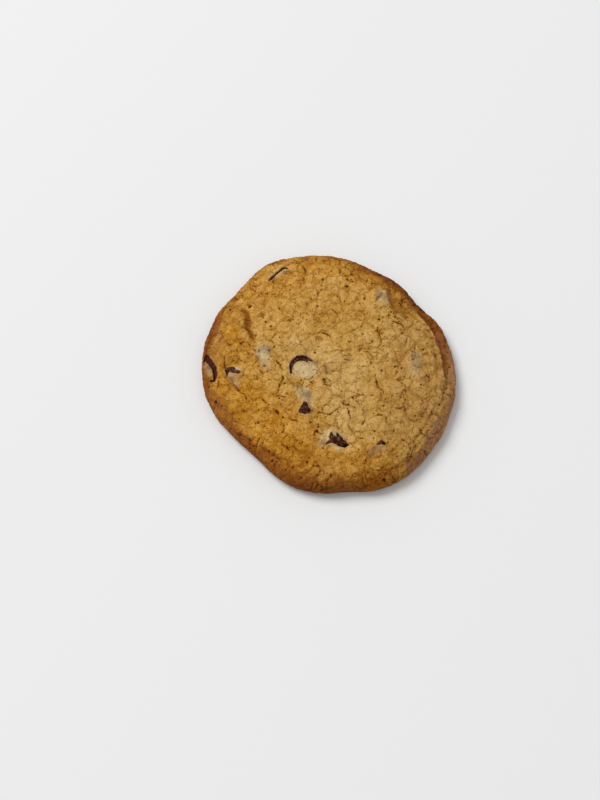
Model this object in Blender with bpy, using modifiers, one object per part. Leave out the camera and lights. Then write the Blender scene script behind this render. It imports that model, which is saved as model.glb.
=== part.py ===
"""Chocolate chip cookie, lying flat: one dough body with the chips that break its surface.

The dough is a turned blank whose points are then moved to the hand-dropped shape: an uneven outline, a
crowned top with swells, dimples and creases, and a browned ledge along the right-hand rim. Each chip that
shows is a solid of its own, seated in a pocket of the dough with a small clearance all round. A chip that
lies just under the crust is reached through an opening cut over its edge.

Everything is laid out about the middle of the blank. An empty then carries it all to where the origin is on
the table, under the middle of the cookie's box. Units are metres, and +Z is up.
"""

import math

import bmesh
import bpy
import numpy as np
from mathutils import Matrix, Vector

MM = 0.001

# The dough's main sizes.
COOKIE_RADIUS = 50.0 * MM
CROWN_HEIGHT = 12.6 * MM
RIM_HEIGHT = 3.2 * MM  # where the side is widest
FOOT_INSET = 2.4 * MM  # how far the side curls in from there to the flat underside
FOOT_RINGS = 4
CROWN_POWER = 4.6  # the higher, the flatter the top and the steeper its shoulder
SEGMENTS = 96
RING_SPACING = 2.4 * MM
WELD = 0.02 * MM

# The uneven outline: azimuth and half width in degrees, and how far the edge is moved out, in millimetres.
OUTLINE_LOBES = (
    (-135, 26, -4.9),
    (-106, 12, 0.8),
    (-82, 8, -1.0),
    (-58, 26, 2.7),
    (-12, 20, 1.0),
    (40, 10, -2.1),
    (92, 18, 3.5),
    (116, 14, 4.6),
    (150, 18, 1.3),
)

# Broad swells and hollows of the top, in millimetres: x, y, radius, height.
SWELLS = (
    (12, 14, 20, 0.9),
    (24, -14, 13, 0.6),
    (2, 40, 11, 0.5),
    (-6, -24, 9, 0.6),
    (14, -38, 9, 0.7),
    (-27, -20, 13, -1.3),
    (-22, 26, 10, -0.6),
    (-2, 12, 8, -0.4),
    (34, 20, 8, -0.5),
    (-12, -39, 7, -0.5),
)

# Chips wholly under the crust lift it in low bumps, in millimetres: x, y, radius, height.
CHIP_BUMPS = (
    (-25.0, 4.4, 4.2, 0.9),
    (22.3, 29.4, 4.6, 1.2),
    (33.7, 1.6, 3.8, 0.8),
    (-8.6, -13.2, 3.2, 0.5),
)

# A finger of dough at the left, between two creases, in millimetres: its ends, half width and height.
FINGER = ((-40.5, 20.0), (-37.0, 8.0), 4.2, 1.2)

# Creases in the crust, in millimetres: half width, depth, then the points that each passes.
CREASES = (
    (1.7, 1.3, ((-34.5, 26.0), (-31.6, 22.0), (-31.4, 17.5), (-29.6, 12.5))),
    (2.0, 1.2, ((-43.0, 25.5), (-44.6, 19.0), (-45.6, 12.0))),
    (1.6, 0.8, ((26.0, 31.5), (28.2, 26.0), (33.4, 21.0))),
    (1.5, 0.8, ((-19.0, -32.0), (-14.3, -36.1), (-8.0, -40.5))),
)

# The browned ledge along the right-hand rim, below the crust's edge.
LEDGE_START, LEDGE_END = -16.0, 41.0  # azimuths in degrees
LEDGE_FADE = 13.0  # degrees over which it comes in and goes out
LEDGE_INSET = 5.6 * MM  # from the outline to the crust's edge
LEDGE_STEP_WIDTH = 1.4 * MM
LEDGE_HEIGHT = 5.4 * MM

# A chocolate chip: a flat-based drop with a blunt tip.
CHIP_RADIUS = 4.6 * MM
CHIP_HEIGHT = 6.6 * MM
CHIP_SEGMENTS = 14
CHIP_PROFILE = (  # shares of the radius and the height, from the tip to the base
    (0.00, 1.00),
    (0.14, 0.97),
    (0.30, 0.84),
    (0.52, 0.66),
    (0.76, 0.46),
    (0.95, 0.24),
    (1.00, 0.10),
    (0.94, 0.00),
    (0.00, 0.00),
)
CHIP_CLEARANCE = 0.3 * MM
MOUTH_DEPTH = 1.9 * MM  # how far an opening reaches to each side of the plane that it is drawn on

# Each chip that shows. at is its middle, in millimetres, and depth is how far that lies under the crust.
# facing is the way that its tip points: degrees from upright, and azimuth. size is its share of a full chip.
# A crescent is an opening over the rim of a chip that lies flat side up under a cap of dough: the radius of
# its arc, its half width, and where it starts and ends round the chip. A slit is a straight opening over a
# chip that stands on edge: its middle, its half length and half width, and its azimuth.
CHIPS = {
    "chip_middle": {
        "at": (-10.1, -1.8),
        "depth": 4.15,
        "facing": (172, 125),
        "size": 1.05,
        "crescent": (4.2, 1.0, 42, 208),
    },
    "chip_left_rim": {
        "at": (-43.3, 0.8),
        "depth": 5.3,
        "facing": (115, -8),
        "size": 0.9,
        "slit": ((-44.7, 0.4), 4.6, 0.95, 104),
    },
    "chip_left": {"at": (-36.8, -2.5), "depth": 1.9, "facing": (60, 161), "size": 0.9},
    "chip_tip": {"at": (-8.9, -19.1), "depth": 1.4, "facing": (34, 94), "size": 1.0},
    "chip_front": {"at": (3.9, -32.2), "depth": 1.7, "facing": (60, -26), "size": 1.0},
    "chip_front_right": {"at": (18.6, -33.6), "depth": 2.1, "facing": (42, 42), "size": 0.9},
    "chip_slit": {
        "at": (-17.6, 38.9),
        "depth": 5.5,
        "facing": (90, -51),
        "size": 1.0,
        "slit": ((-19.7, 41.5), 4.6, 0.65, 39),
    },
}

DOUGH_COLOUR = (0.49, 0.28, 0.08, 1.0)
DOUGH_ROUGHNESS = 0.75
CHOCOLATE_COLOUR = (0.035, 0.016, 0.013, 1.0)
CHOCOLATE_ROUGHNESS = 0.35


def smooth_step(share):
    share = np.clip(share, 0.0, 1.0)
    return share * share * (3.0 - 2.0 * share)


def outline_radius(azimuth):
    """The outline's radius at these azimuths, in radians: a circle plus a bell for each lobe."""
    radius = np.full_like(azimuth, COOKIE_RADIUS)
    for centre, half_width, reach in OUTLINE_LOBES:
        away = (np.degrees(azimuth) - centre + 180.0) % 360.0 - 180.0
        radius = radius + reach * MM * np.exp(-((away / half_width) ** 2))
    return radius


def outline_middle():
    """The middle of the box round the outline."""
    azimuth = np.linspace(-math.pi, math.pi, 1441)
    radius = outline_radius(azimuth)
    x, y = radius * np.cos(azimuth), radius * np.sin(azimuth)
    return Vector(((x.min() + x.max()) / 2, (y.min() + y.max()) / 2, 0.0))


def distance_to_path(x, y, points):
    """The distance from each (x, y) to the nearest point of a path of straight runs."""
    nearest = np.full_like(x, np.inf)
    for (ax, ay), (bx, by) in zip(points[:-1], points[1:]):
        run_x, run_y = bx - ax, by - ay
        along = ((x - ax) * run_x + (y - ay) * run_y) / (run_x**2 + run_y**2)
        along = np.clip(along, 0.0, 1.0)
        nearest = np.minimum(nearest, np.hypot(x - ax - along * run_x, y - ay - along * run_y))
    return nearest


def relief(x, y):
    """How far the crust stands above the plain crown: swells, bumps over chips, the finger, creases."""
    x, y = x / MM, y / MM
    height = np.zeros_like(x)
    for bump_x, bump_y, radius, lift in SWELLS + CHIP_BUMPS:
        height += lift * np.exp(-((x - bump_x) ** 2 + (y - bump_y) ** 2) / radius**2)
    start, end, half_width, lift = FINGER
    height += lift * np.exp(-((distance_to_path(x, y, (start, end)) / half_width) ** 2))
    for half_width, depth, points in CREASES:
        height -= depth * np.exp(-((distance_to_path(x, y, points) / half_width) ** 2))
    return height * MM


def crown(share):
    """The plain crown's height at a share of the outline's radius: a superellipse, middle to rim."""
    return RIM_HEIGHT + (CROWN_HEIGHT - RIM_HEIGHT) * np.sqrt(np.clip(1.0 - share**CROWN_POWER, 0.0, 1.0))


def ledge_weight(azimuth):
    """How much of the ledge there is at these azimuths, from none to all of it."""
    degrees = np.degrees(azimuth)
    coming_in = smooth_step((degrees - LEDGE_START) / LEDGE_FADE)
    going_out = smooth_step((LEDGE_END - degrees) / LEDGE_FADE)
    return coming_in * going_out


def shaped_top(x, y, plain_height):
    """The crust's height at (x, y), from the plain crown's height there. The relief fades at the rim."""
    azimuth = np.arctan2(y, x)
    share_up = (plain_height - RIM_HEIGHT) / (CROWN_HEIGHT - RIM_HEIGHT)
    height = plain_height + relief(x, y) * smooth_step(share_up * 1.4)
    past_edge = np.hypot(x, y) - (outline_radius(azimuth) - LEDGE_INSET)
    drop = np.maximum(height - LEDGE_HEIGHT, 0.0) * smooth_step(past_edge / LEDGE_STEP_WIDTH)
    return height - drop * ledge_weight(azimuth)


def under_crust(place, depth):
    """The point so far under the crust at a place, all in millimetres."""
    x, y = (np.array([value * MM]) for value in place)
    share = np.hypot(x, y) / outline_radius(np.arctan2(y, x))
    return Vector((x[0], y[0], shaped_top(x, y, crown(share))[0] - depth * MM))


def evenly_spaced(points, spacing):
    """Points about this far apart along the path through the given points, with both its ends."""
    lengths = np.linalg.norm(np.diff(points, axis=0), axis=1)
    along = np.concatenate([[0.0], np.cumsum(lengths)])
    wanted = np.linspace(0.0, along[-1], int(round(along[-1] / spacing)) + 1)
    return np.column_stack([np.interp(wanted, along, points[:, axis]) for axis in (0, 1)])


def dough_profile():
    """The blank's section: from the top's middle over the shoulder and round the foot to the underside."""
    angle = np.linspace(0.0, math.pi / 2, 400)
    share = np.sin(angle) ** (2.0 / CROWN_POWER)
    top = evenly_spaced(np.column_stack([share * COOKIE_RADIUS, crown(share)]), RING_SPACING)
    turn = np.linspace(0.0, math.pi / 2, FOOT_RINGS + 1)[1:]
    foot_radius = COOKIE_RADIUS - FOOT_INSET * (1.0 - np.cos(turn))
    foot = np.column_stack([foot_radius, RIM_HEIGHT * (1.0 - np.sin(turn))])
    underside = np.array([[0.6 * COOKIE_RADIUS, 0.0], [0.0, 0.0]])
    return np.vstack([top, foot, underside])


def closed_mesh(obj, name):
    """A new mesh of the object with its modifiers applied, its doubles merged and its faces turned out."""
    bpy.context.view_layer.update()
    evaluated = obj.evaluated_get(bpy.context.evaluated_depsgraph_get())
    mesh = bpy.data.meshes.new_from_object(evaluated)
    mesh.name = name
    merged = bmesh.new()
    merged.from_mesh(mesh)
    bmesh.ops.remove_doubles(merged, verts=merged.verts, dist=WELD)
    bmesh.ops.recalc_face_normals(merged, faces=merged.faces)
    merged.to_mesh(mesh)
    merged.free()
    return mesh


def turned(name, profile, segments):
    """A mesh turned about Z from a profile of (radius, height) that starts and ends on the axis."""
    mesh = bpy.data.meshes.new(name + "_section")
    points = [(radius, 0.0, height) for radius, height in profile]
    mesh.from_pydata(points, [(i, i + 1) for i in range(len(points) - 1)], [])
    section = bpy.data.objects.new(name + "_section", mesh)
    bpy.context.scene.collection.objects.link(section)
    screw = section.modifiers.new("turn", "SCREW")
    screw.axis = "Z"
    screw.steps = screw.render_steps = segments
    screw.use_merge_vertices = True
    screw.merge_threshold = WELD
    solid = closed_mesh(section, name)
    bpy.data.objects.remove(section)
    return solid


def dough_mesh():
    """The dough: the turned blank with its points moved to the outline and the crust's relief."""
    mesh = turned("dough", dough_profile(), SEGMENTS)
    points = np.empty(len(mesh.vertices) * 3)
    mesh.vertices.foreach_get("co", points)
    x, y, z = points.reshape(-1, 3).T
    stretch = outline_radius(np.arctan2(y, x)) / COOKIE_RADIUS
    x, y = x * stretch, y * stretch
    z = np.where(z > RIM_HEIGHT, shaped_top(x, y, z), z)
    mesh.vertices.foreach_set("co", np.column_stack([x, y, z]).ravel())
    mesh.update()
    return mesh


def chip_mesh(name, size, clearance=0.0):
    """A chip about its own middle, grown by a clearance on every side."""
    radius = CHIP_RADIUS * size + clearance
    height = CHIP_HEIGHT * size + 2 * clearance
    profile = [(share * radius, (up - 0.5) * height) for share, up in CHIP_PROFILE]
    return turned(name, profile, CHIP_SEGMENTS)


def turn_to_face(lean, azimuth):
    """The turn that points +Z so many degrees from upright towards an azimuth."""
    towards = Matrix.Rotation(math.radians(azimuth), 4, "Z")
    return towards @ Matrix.Rotation(math.radians(lean), 4, "Y") @ towards.inverted()


def crescent_outline(radius, half_width, start, end):
    """An arc round the origin whose half width swells from nothing to the full and back."""
    share = np.linspace(0.0, 1.0, 15)
    azimuth = np.radians(start + (end - start) * share)
    half = half_width * np.sqrt(np.sin(math.pi * share))
    outer = np.column_stack([(radius + half) * np.cos(azimuth), (radius + half) * np.sin(azimuth)])
    inner = np.column_stack([(radius - half) * np.cos(azimuth), (radius - half) * np.sin(azimuth)])
    return np.vstack([outer, inner[-2:0:-1]]) * MM


def slit_outline(half_length, half_width):
    """A long thin oval along X."""
    turn = np.linspace(0.0, 2 * math.pi, 17)[:-1]
    return np.column_stack([half_length * np.cos(turn), half_width * np.sin(turn)]) * MM


def prism(name, outline):
    """A closed mesh of the outline, reaching as far above its plane as below it."""
    curve = bpy.data.curves.new(name, "CURVE")
    curve.dimensions = "2D"
    curve.fill_mode = "BOTH"
    curve.extrude = MOUTH_DEPTH
    spline = curve.splines.new("POLY")
    spline.points.add(len(outline) - 1)
    for point, (u, v) in zip(spline.points, outline):
        point.co = (u, v, 0.0, 1.0)
    spline.use_cyclic_u = True
    guide = bpy.data.objects.new(name + "_outline", curve)
    bpy.context.scene.collection.objects.link(guide)
    mesh = closed_mesh(guide, name)
    bpy.data.objects.remove(guide)
    return mesh


def crescent_opening(name, chip):
    """The opening over the rim of a chip that lies flat side up, drawn on the plane of its flat side."""
    lean, azimuth = chip["facing"]
    flat_side_up = turn_to_face(180 - lean, azimuth + 180)
    to_flat_side = Vector((0.0, 0.0, chip["size"] * CHIP_HEIGHT / 2))
    middle = under_crust(chip["at"], chip["depth"]) + flat_side_up @ to_flat_side
    opening = bpy.data.objects.new(name, prism(name, crescent_outline(*chip["crescent"])))
    opening.matrix_world = Matrix.Translation(middle) @ flat_side_up
    return opening


def slit_opening(name, chip):
    """The opening over a chip that stands on edge, drawn level at the crust's height."""
    at, half_length, half_width, azimuth = chip["slit"]
    opening = bpy.data.objects.new(name, prism(name, slit_outline(half_length, half_width)))
    along = Matrix.Rotation(math.radians(azimuth), 4, "Z")
    opening.matrix_world = Matrix.Translation(under_crust(at, 0.0)) @ along
    return opening


def material(name, colour, roughness):
    made = bpy.data.materials.new(name)
    made.use_nodes = True
    shader = made.node_tree.nodes["Principled BSDF"]
    shader.inputs["Base Color"].default_value = colour
    shader.inputs["Roughness"].default_value = roughness
    shader.inputs["Metallic"].default_value = 0.0
    made.diffuse_color = colour
    return made


def boolean(target, operation, helper):
    """Adds the helper to the target, or cuts it out of it. The helper is hidden from renders."""
    helper.hide_render = True
    helper.display_type = "WIRE"
    modifier = target.modifiers.new(helper.name, "BOOLEAN")
    modifier.operation = operation
    modifier.solver = "EXACT"
    modifier.object = helper


def main():
    for obj in list(bpy.data.objects):
        bpy.data.objects.remove(obj)
    cookie = bpy.data.collections.new("chocolate_chip_cookie")
    cutters = bpy.data.collections.new("cutters")
    for collection in (cookie, cutters):
        bpy.context.scene.collection.children.link(collection)
    baked_dough = material("baked_dough", DOUGH_COLOUR, DOUGH_ROUGHNESS)
    chocolate = material("chocolate", CHOCOLATE_COLOUR, CHOCOLATE_ROUGHNESS)

    blank_middle = bpy.data.objects.new("blank_middle", None)
    blank_middle.location = -outline_middle()
    cookie.objects.link(blank_middle)
    dough = bpy.data.objects.new("dough", dough_mesh())
    dough.data.materials.append(baked_dough)
    dough.data.shade_smooth()
    dough.parent = blank_middle
    cookie.objects.link(dough)

    for name, chip in CHIPS.items():
        place = Matrix.Translation(under_crust(chip["at"], chip["depth"])) @ turn_to_face(*chip["facing"])
        body = bpy.data.objects.new(name, chip_mesh(name, chip["size"]))
        body.data.materials.append(chocolate)
        body.data.shade_smooth()
        body.matrix_world = place
        body.parent = blank_middle
        cookie.objects.link(body)

        pocket_mesh = chip_mesh(name + "_pocket", chip["size"], CHIP_CLEARANCE)
        pocket = bpy.data.objects.new(name + "_pocket", pocket_mesh)
        pocket.matrix_world = place
        helpers = [pocket]
        if "crescent" in chip:
            helpers.append(crescent_opening(name + "_opening", chip))
        if "slit" in chip:
            helpers.append(slit_opening(name + "_opening", chip))
        for helper in helpers:
            helper.parent = blank_middle
            cutters.objects.link(helper)
        for opening in helpers[1:]:
            boolean(pocket, "UNION", opening)
        boolean(dough, "DIFFERENCE", pocket)


main()
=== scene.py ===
"""Looks of a chocolate chip cookie: the baked crust, the chips that break it, and a plain pale stage.

The dough is one closed surface. Two square grids, each laid on a disc, meet along the widest line of the
side: the upper one is the crust, the lower one the foot and the underside. Plates, cracks, pores and crumb
move its points along the surface's own direction, and a mouth is let into it over each chip that shows. The
shapes are worked out in millimetres about the middle from which the outline's radius is measured, and go
into the meshes in metres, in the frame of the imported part.
"""

import math

import bpy
import numpy as np
from bpy.props import FloatProperty, FloatVectorProperty, IntProperty, PointerProperty
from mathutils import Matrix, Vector


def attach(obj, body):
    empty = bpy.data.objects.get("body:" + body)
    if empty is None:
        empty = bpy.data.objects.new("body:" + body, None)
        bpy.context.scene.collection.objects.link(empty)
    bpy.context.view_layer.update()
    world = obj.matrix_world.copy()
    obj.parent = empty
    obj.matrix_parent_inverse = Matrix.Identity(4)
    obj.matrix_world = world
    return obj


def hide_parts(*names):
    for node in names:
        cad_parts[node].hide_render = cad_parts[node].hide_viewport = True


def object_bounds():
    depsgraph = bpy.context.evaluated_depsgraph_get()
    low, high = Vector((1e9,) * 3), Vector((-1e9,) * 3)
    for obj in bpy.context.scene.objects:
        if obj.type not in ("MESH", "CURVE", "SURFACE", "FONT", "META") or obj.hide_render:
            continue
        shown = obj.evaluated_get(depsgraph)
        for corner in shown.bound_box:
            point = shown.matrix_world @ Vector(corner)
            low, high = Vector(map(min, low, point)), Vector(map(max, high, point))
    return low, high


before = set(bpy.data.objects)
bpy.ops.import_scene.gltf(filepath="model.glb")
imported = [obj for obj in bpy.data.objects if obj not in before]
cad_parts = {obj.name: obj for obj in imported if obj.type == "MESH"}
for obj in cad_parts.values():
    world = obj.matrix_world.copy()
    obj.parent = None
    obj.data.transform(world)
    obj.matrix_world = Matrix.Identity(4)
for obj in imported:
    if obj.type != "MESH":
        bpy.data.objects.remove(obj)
CAD_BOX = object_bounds()

bl_info = {
    "name": "Chocolate Chip Cookie",
    "version": (1, 0, 0),
    "blender": (4, 5, 0),
    "location": "3D View > Sidebar > Cookie",
    "description": "Builds a baked chocolate chip cookie: its crust, its chips and a stage",
    "category": "Object",
}

MM = 0.001

# The dough's main sizes, in millimetres.
COOKIE_RADIUS = 50.0
CROWN_HEIGHT = 12.6
RIM_HEIGHT = 3.2  # where the side is widest
FOOT_INSET = 2.4
CROWN_POWER = 4.6
RELIEF_RISE = 1.4  # how fast the swells and bumps grow from the rim up the crown
OUTLINE_STEPS, TOP_STEPS, FOOT_STEPS = 1441, 2000, 200  # points of the lines that are measured along

# The uneven outline: azimuth and half width in degrees, and how far the edge is moved out.
OUTLINE_LOBES = (
    (-135, 26, -4.9), (-106, 12, 0.8), (-82, 8, -1), (-58, 26, 2.7), (-12, 20, 1), (40, 10, -2.1),
    (92, 18, 3.5), (116, 14, 4.6), (150, 18, 1.3),
)

# Broad swells and hollows of the top, and the bumps over covered chips: x, y, radius, height.
SWELLS = (
    (12, 14, 20, 0.9), (24, -14, 13, 0.6), (2, 40, 11, 0.5), (-6, -24, 9, 0.6), (14, -38, 9, 0.7),
    (-27, -20, 13, -1.3), (-22, 26, 10, -0.6), (-2, 12, 8, -0.4), (34, 20, 8, -0.5), (-12, -39, 7, -0.5),
    (-25, 4.4, 4.2, 0.9), (22.3, 29.4, 4.6, 1.2), (33.7, 1.6, 3.8, 0.8), (-8.6, -13.2, 3.2, 0.5),
)

# The finger of dough at the left, then the creases: half width, height, and the points that each passes.
RIDGES = (
    (4.2, 1.2, ((-40.5, 20), (-37, 8))),
    (1.7, -1.3, ((-34.5, 26), (-31.6, 22), (-31.4, 17.5), (-29.6, 12.5))),
    (2, -1.2, ((-43, 25.5), (-44.6, 19), (-45.6, 12))),
    (1.6, -0.8, ((26, 31.5), (28.2, 26), (33.4, 21))),
    (1.5, -0.8, ((-19, -32), (-14.3, -36.1), (-8, -40.5))),
)

# The browned ledge along the right-hand rim: azimuths in degrees, the rest in millimetres.
LEDGE_START, LEDGE_END, LEDGE_FADE = -16.0, 41.0, 13.0
LEDGE_INSET, LEDGE_STEP_WIDTH, LEDGE_HEIGHT = 5.6, 1.4, 5.4

# A band is a line of points: x, y and the band's half width there. A single point makes a disc.

# Mouths in the crust over the chips that show: how strongly the lip is bloomed, then the mouth's bands.
MOUTHS = {
    "chip_middle": (0.75, (
        ((-14.3, -4.2, 0.3), (-14.4, -2.3, 0.6), (-13.9, -0.4, 0.75), (-12.9, 0.9, 0.9), (-11.5, 1.85, 1.2),
            (-10.1, 2.1, 1.35), (-8.9, 2, 1.15), (-7.5, 1.4, 0.7), (-6.3, 0.9, 0.3)),
        ((-8.3, 1.2, 0.5), (-8.1, 0.3, 0.25)),
    )),
    "chip_left_rim": (0.2, (
        ((-48, 6.6, 0.4), (-47.8, 4.9, 1.05), (-46.4, 2.9, 0.95), (-45.35, 1.1, 0.95), (-44.35, -0.8, 1),
            (-43.95, -3, 0.85), (-44, -4.5, 0.55), (-44.4, -6, 0.45), (-45.9, -5.6, 0.3)),
        ((-48.1, 5.6, 0.6), (-48.7, 4, 0.4)),
    )),
    "chip_left": (0.4, (
        ((-39.6, -2.2, 0.5), (-38.6, -2.3, 0.95), (-37.1, -2.1, 0.95), (-36.6, -2.6, 0.75)),
        ((-37.2, -3.1, 0.6), (-35.8, -3.4, 0.6), (-34.5, -3.8, 0.5)),
        ((-39.4, -2.6, 0.35), (-39.1, -4.4, 0.15)),
    )),
    "chip_tip": (0.3, (
        ((-8.9, -18.3, 0.9), (-9, -19.5, 1.7)),
        ((-10.3, -20.5, 1.05), (-9, -20.4, 1.55), (-7.9, -20.6, 1.15)),
    )),
    "chip_front": (0.3, (
        ((1, -29.9, 0.4), (1.1, -31.6, 0.9), (2.5, -32.5, 1.25), (4.2, -33.2, 1.4), (5.9, -33.9, 1.05),
            (7.3, -34, 0.4)),
        ((3.4, -30.3, 0.45), (4.2, -32, 1)),
        ((1.6, -32.9, 0.6), (0.2, -33.2, 0.35), (-0.9, -33.8, 0.2)),
    )),
    "chip_front_right": (0.15, (
        ((18.2, -33.9, 0.2), (19, -33.5, 0.5), (19.9, -33.1, 0.75), (20.6, -33.2, 0.6), (21.4, -33.2, 0.2)),
    )),
    "chip_slit": (0.25, (
        ((-23.4, 38.5, 0.25), (-22.6, 39.3, 0.48), (-20.8, 41.2, 0.42), (-19, 43, 0.38), (-17.6, 44.2, 0.45),
            (-16.9, 44.3, 0.5), (-16, 43.7, 0.35)),
    )),
}
MOUTH_WALL = 0.35  # how wide the wall of a mouth is, seen from above
MOUTH_GAP = 0.12  # how far the dough lies under the chip inside a mouth
MOUTH_DEPTH = 1.0  # how deep a mouth is where no chip lies under it
LIP_WIDTH, LIP_RISE = 0.6, 0.12  # the raised lip round a mouth
SKIN = 0.4  # how thick the dough over the covered part of a chip is
CHIP_REACH = 7.5  # beyond this distance from its middle a chip touches nothing

# Cracks in the crust, each a band.
CRACKS = (
    ((-20, 0.9, 0.35), (-19.1, 0, 0.3), (-18.5, -1.3, 0.4), (-17.7, -3, 0.15)),
    ((-17.6, -5.6, 0.4), (-17.6, -7, 0.25), (-18.4, -8.4, 0.35), (-19, -11.2, 0.2), (-20, -13.2, 0.3)),
    ((-19.8, -13.6, 0.25), (-17.6, -14.2, 0.2), (-16.2, -14, 0.15)),
    ((-1.1, -1.6, 0.2), (-0.5, -3.2, 0.3), (-0.6, -4.4, 0.3)),
    ((-1.7, -7.2, 0.65), (-1.1, -8, 0.6)),
    ((-1.4, -9.2, 0.3), (0.5, -9.8, 0.25)),
    ((18, -5.6, 0.3), (18.4, -6.8, 0.1), (18.9, -8.4, 0.4), (18.8, -10.1, 0.3), (20, -11.2, 0.2),
        (21.1, -12.9, 0.3)),
    ((-4, -21, 0.3), (-1, -21.4, 0.2), (0.8, -21.8, 0.4), (2.6, -20.4, 0.2), (4.6, -18.6, 0.3)),
    ((5, -16.6, 0.5), (6, -17.8, 0.45), (7.6, -17.8, 0.3), (8, -16.8, 0.2)),
    ((7.4, -19.6, 0.2), (7.9, -21.6, 0.45), (8.3, -24, 0.15)),
    ((-4, -21.4, 0.25), (-4.4, -23.8, 0.2)),
    ((14.3, -22, 0.15), (14.1, -24.2, 0.25), (12.8, -25.5, 0.4)),
    ((7.4, -26.2, 0.15), (8.2, -27.8, 0.3), (9, -29.6, 0.25)),
    ((10.2, -30.8, 0.1), (11.2, -31.4, 0.3), (13.1, -31.6, 0.2)),
    ((-25.5, -14.4, 0.15), (-24, -16, 0.3), (-22.8, -17.3, 0.3)),
    ((-21, -18.8, 0.2), (-19.7, -20, 0.6), (-19, -20.8, 0.3)),
    ((-15, -22.8, 0.2), (-13.4, -24, 0.3), (-12.4, -24, 0.35)),
    ((-17.6, -33, 0.3), (-16.2, -34.2, 0.45), (-15, -35, 0.25)),
    ((26, 18.6, 0.3), (27.8, 18, 0.4), (29.4, 17.8, 0.3), (30.3, 16.6, 0.25), (30.6, 15, 0.15)),
    ((19.9, 15.2, 0.3), (19.8, 13.4, 0.35), (20.6, 11.4, 0.25), (21.1, 8.8, 0.2)),
    ((17.7, 9.2, 0.4), (16.4, 8, 0.2)),
    ((-9.6, 45.6, 0.2), (-8.8, 43.4, 0.3), (-8.1, 40.6, 0.1)),
    ((14.8, 30.6, 0.15), (14.9, 28.2, 0.3)),
    ((25.8, 29.2, 0.2), (25.7, 27.6, 0.3), (26.2, 26.2, 0.3)),
    ((29, 28.2, 0.3), (30, 27.4, 0.2), (30.6, 30.1, 0.35), (31.4, 30.3, 0.2)),
    ((-37.3, 32.4, 0.15), (-36.8, 31.2, 0.35), (-35.8, 30.2, 0.15)),
    ((-30, 41.2, 0.2), (-28.8, 39.9, 0.35)),
    ((-41, 3.6, 0.25), (-40.7, 1.2, 0.3), (-40.3, -0.6, 0.25), (-39.8, -1.6, 0.3)),
    ((-26.4, -2.8, 0.1), (-25.4, -4.2, 0.25)),
    ((-37.8, -5.3, 0.15), (-36.8, -8.1, 0.2), (-34.9, -10.2, 0.4), (-34.4, -11.2, 0.15)),
    ((-34, -11.6, 0.15), (-32.2, -12.8, 0.2), (-31.2, -14.8, 0.15)),
    ((-8.9, -7.3, 0.15), (-7.2, -7, 0.25), (-6, -5.9, 0.3)),
    ((0, -33.2, 0.3), (-1.4, -34, 0.2), (-2.4, -35.2, 0.35)),
    ((2.9, 30.6, 0.25), (3.9, 30.2, 0.2), (5, 28.4, 0.2), (5.6, 26.4, 0.1)),
    ((5.2, 43.6, 0.15), (5.8, 42.2, 0.3), (5.4, 41.6, 0.15)),
    ((2, 23.6, 0.2), (3.6, 22, 0.2), (4.2, 20.4, 0.2)),
    ((-2, 13.4, 0.2), (0.2, 12.2, 0.3), (1, 11.2, 0.15)),
    ((15.6, 4.6, 0.15), (17.4, 2.4, 0.25), (17.6, 1, 0.1)),
    ((6.4, 1.4, 0.2), (8.4, 0.8, 0.3)),
)

CRACK_WIDTH = 0.38  # half the width of a crack between two plates
HOLLOW_WALL = 0.42  # how wide the wall of a placed crack or pore is, seen from above
DITCH_FADE = 0.7  # how far the ditch beside a placed crack or groove reaches

# Soft grooves, darkened with painted shade: how deep, how dark the painted shade is, then the band.
GROOVES = (
    (0.3, 0.06, ((46.4, 6, 0.1), (46.8, 0, 0.3), (46.2, -6, 0.4), (45, -12, 0.2))),
    (0.4, 0.08, ((41.6, 12, 0.1), (43.2, 4, 0.4), (43, -4, 0.3))),
    (0.35, 0.08, ((44.4, -12, 0.2), (41.6, -18.6, 0.4), (38.8, -22, 0.1))),
    (0.4, 0.1, ((26, -41.4, 0.3), (31, -38.8, 0.5), (34.6, -36, 0.3))),
    (0.45, 0.08, ((25.3, 33, 0.4), (25.8, 28.8, 0.5), (26.8, 25.6, 0.5), (29, 23, 0.4), (31.6, 21.8, 0.2))),
    (0.35, 0.06, ((-9.4, 45, 0.3), (-8.6, 42, 0.5), (-7.6, 38, 0.2))),
    (0.35, 0.08, ((-42.4, 4, 0.2), (-41, 0, 0.6), (-38, -6, 0.6), (-35, -10.4, 0.4))),
    (0.3, 0.06, ((-28.6, 9.4, 0.2), (-27.6, 3, 0.2), (-26.8, 0, 0.2), (-25, -2.6, 0.2))),
    (0.3, 0.06, ((-28, -30, 0.4), (-22, -36, 0.6), (-15, -41, 0.4))),
)

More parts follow.
